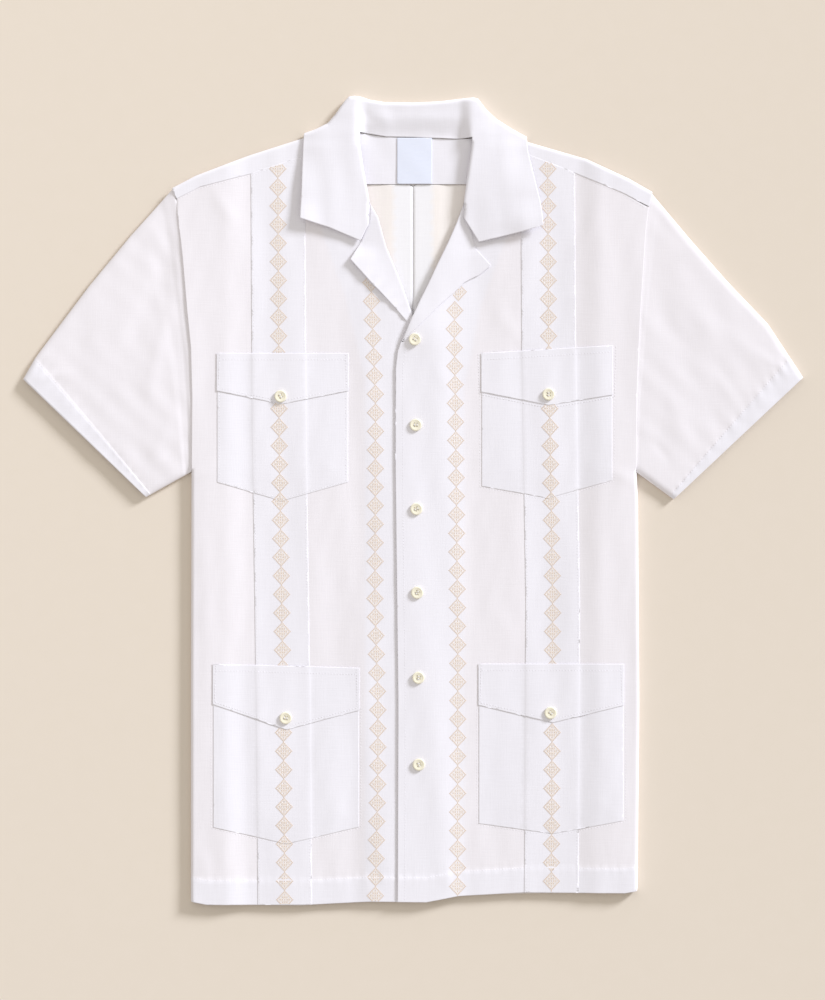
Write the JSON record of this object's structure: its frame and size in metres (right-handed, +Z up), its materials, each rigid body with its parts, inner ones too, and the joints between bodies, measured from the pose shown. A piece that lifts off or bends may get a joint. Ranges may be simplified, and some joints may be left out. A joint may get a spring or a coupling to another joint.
{
  "type": "guayabera shirt",
  "caption": "Short-sleeved guayabera shirt laid flat, front up: open notched collar with lapels, flap pockets, embroidered bands down each front, sides turned under.",
  "frame": {"origin": "bottom centre of the whole garment's box, on the surface it lies on", "axes": "+Y from the hem to the collar, +X to the wearer's left, +Z up out of the front"},
  "size_m": [0.7694, 0.7922, 0.0122],
  "materials": {
    "shirt_cloth": "matte plain-weave cloth, white with a slight lavender cast, soft creases",
    "embroidered_band": "matte plain-weave cloth with a column of beige embroidered diamonds",
    "woven_label": "smooth pale satin-weave label, bare",
    "shell_button": "cream pearl, softly glossy"
  },
  "bodies": {
    "root": {"back_panel": "shirt_cloth", "back_yoke": "shirt_cloth", "band_left": "embroidered_band", "band_right": "embroidered_band", "button_chest_left": "shell_button", "button_chest_right": "shell_button", "button_front_1": "shell_button", "button_front_2": "shell_button", "button_front_3": "shell_button", "button_front_4": "shell_button", "button_front_5": "shell_button", "button_front_6": "shell_button", "button_waist_left": "shell_button", "button_waist_right": "shell_button", "collar": "shirt_cloth", "facing_left": "shirt_cloth", "facing_right": "shirt_cloth", "flap_chest_left": "shirt_cloth", "flap_chest_right": "shirt_cloth", "flap_waist_left": "shirt_cloth", "flap_waist_right": "shirt_cloth", "front_left": "shirt_cloth", "front_right": "shirt_cloth", "neck_label": "woven_label", "pocket_chest_left": "shirt_cloth", "pocket_chest_right": "shirt_cloth", "pocket_waist_left": "shirt_cloth", "pocket_waist_right": "shirt_cloth", "sleeve_left": "shirt_cloth", "sleeve_right": "shirt_cloth"}
  },
  "joints": []
}
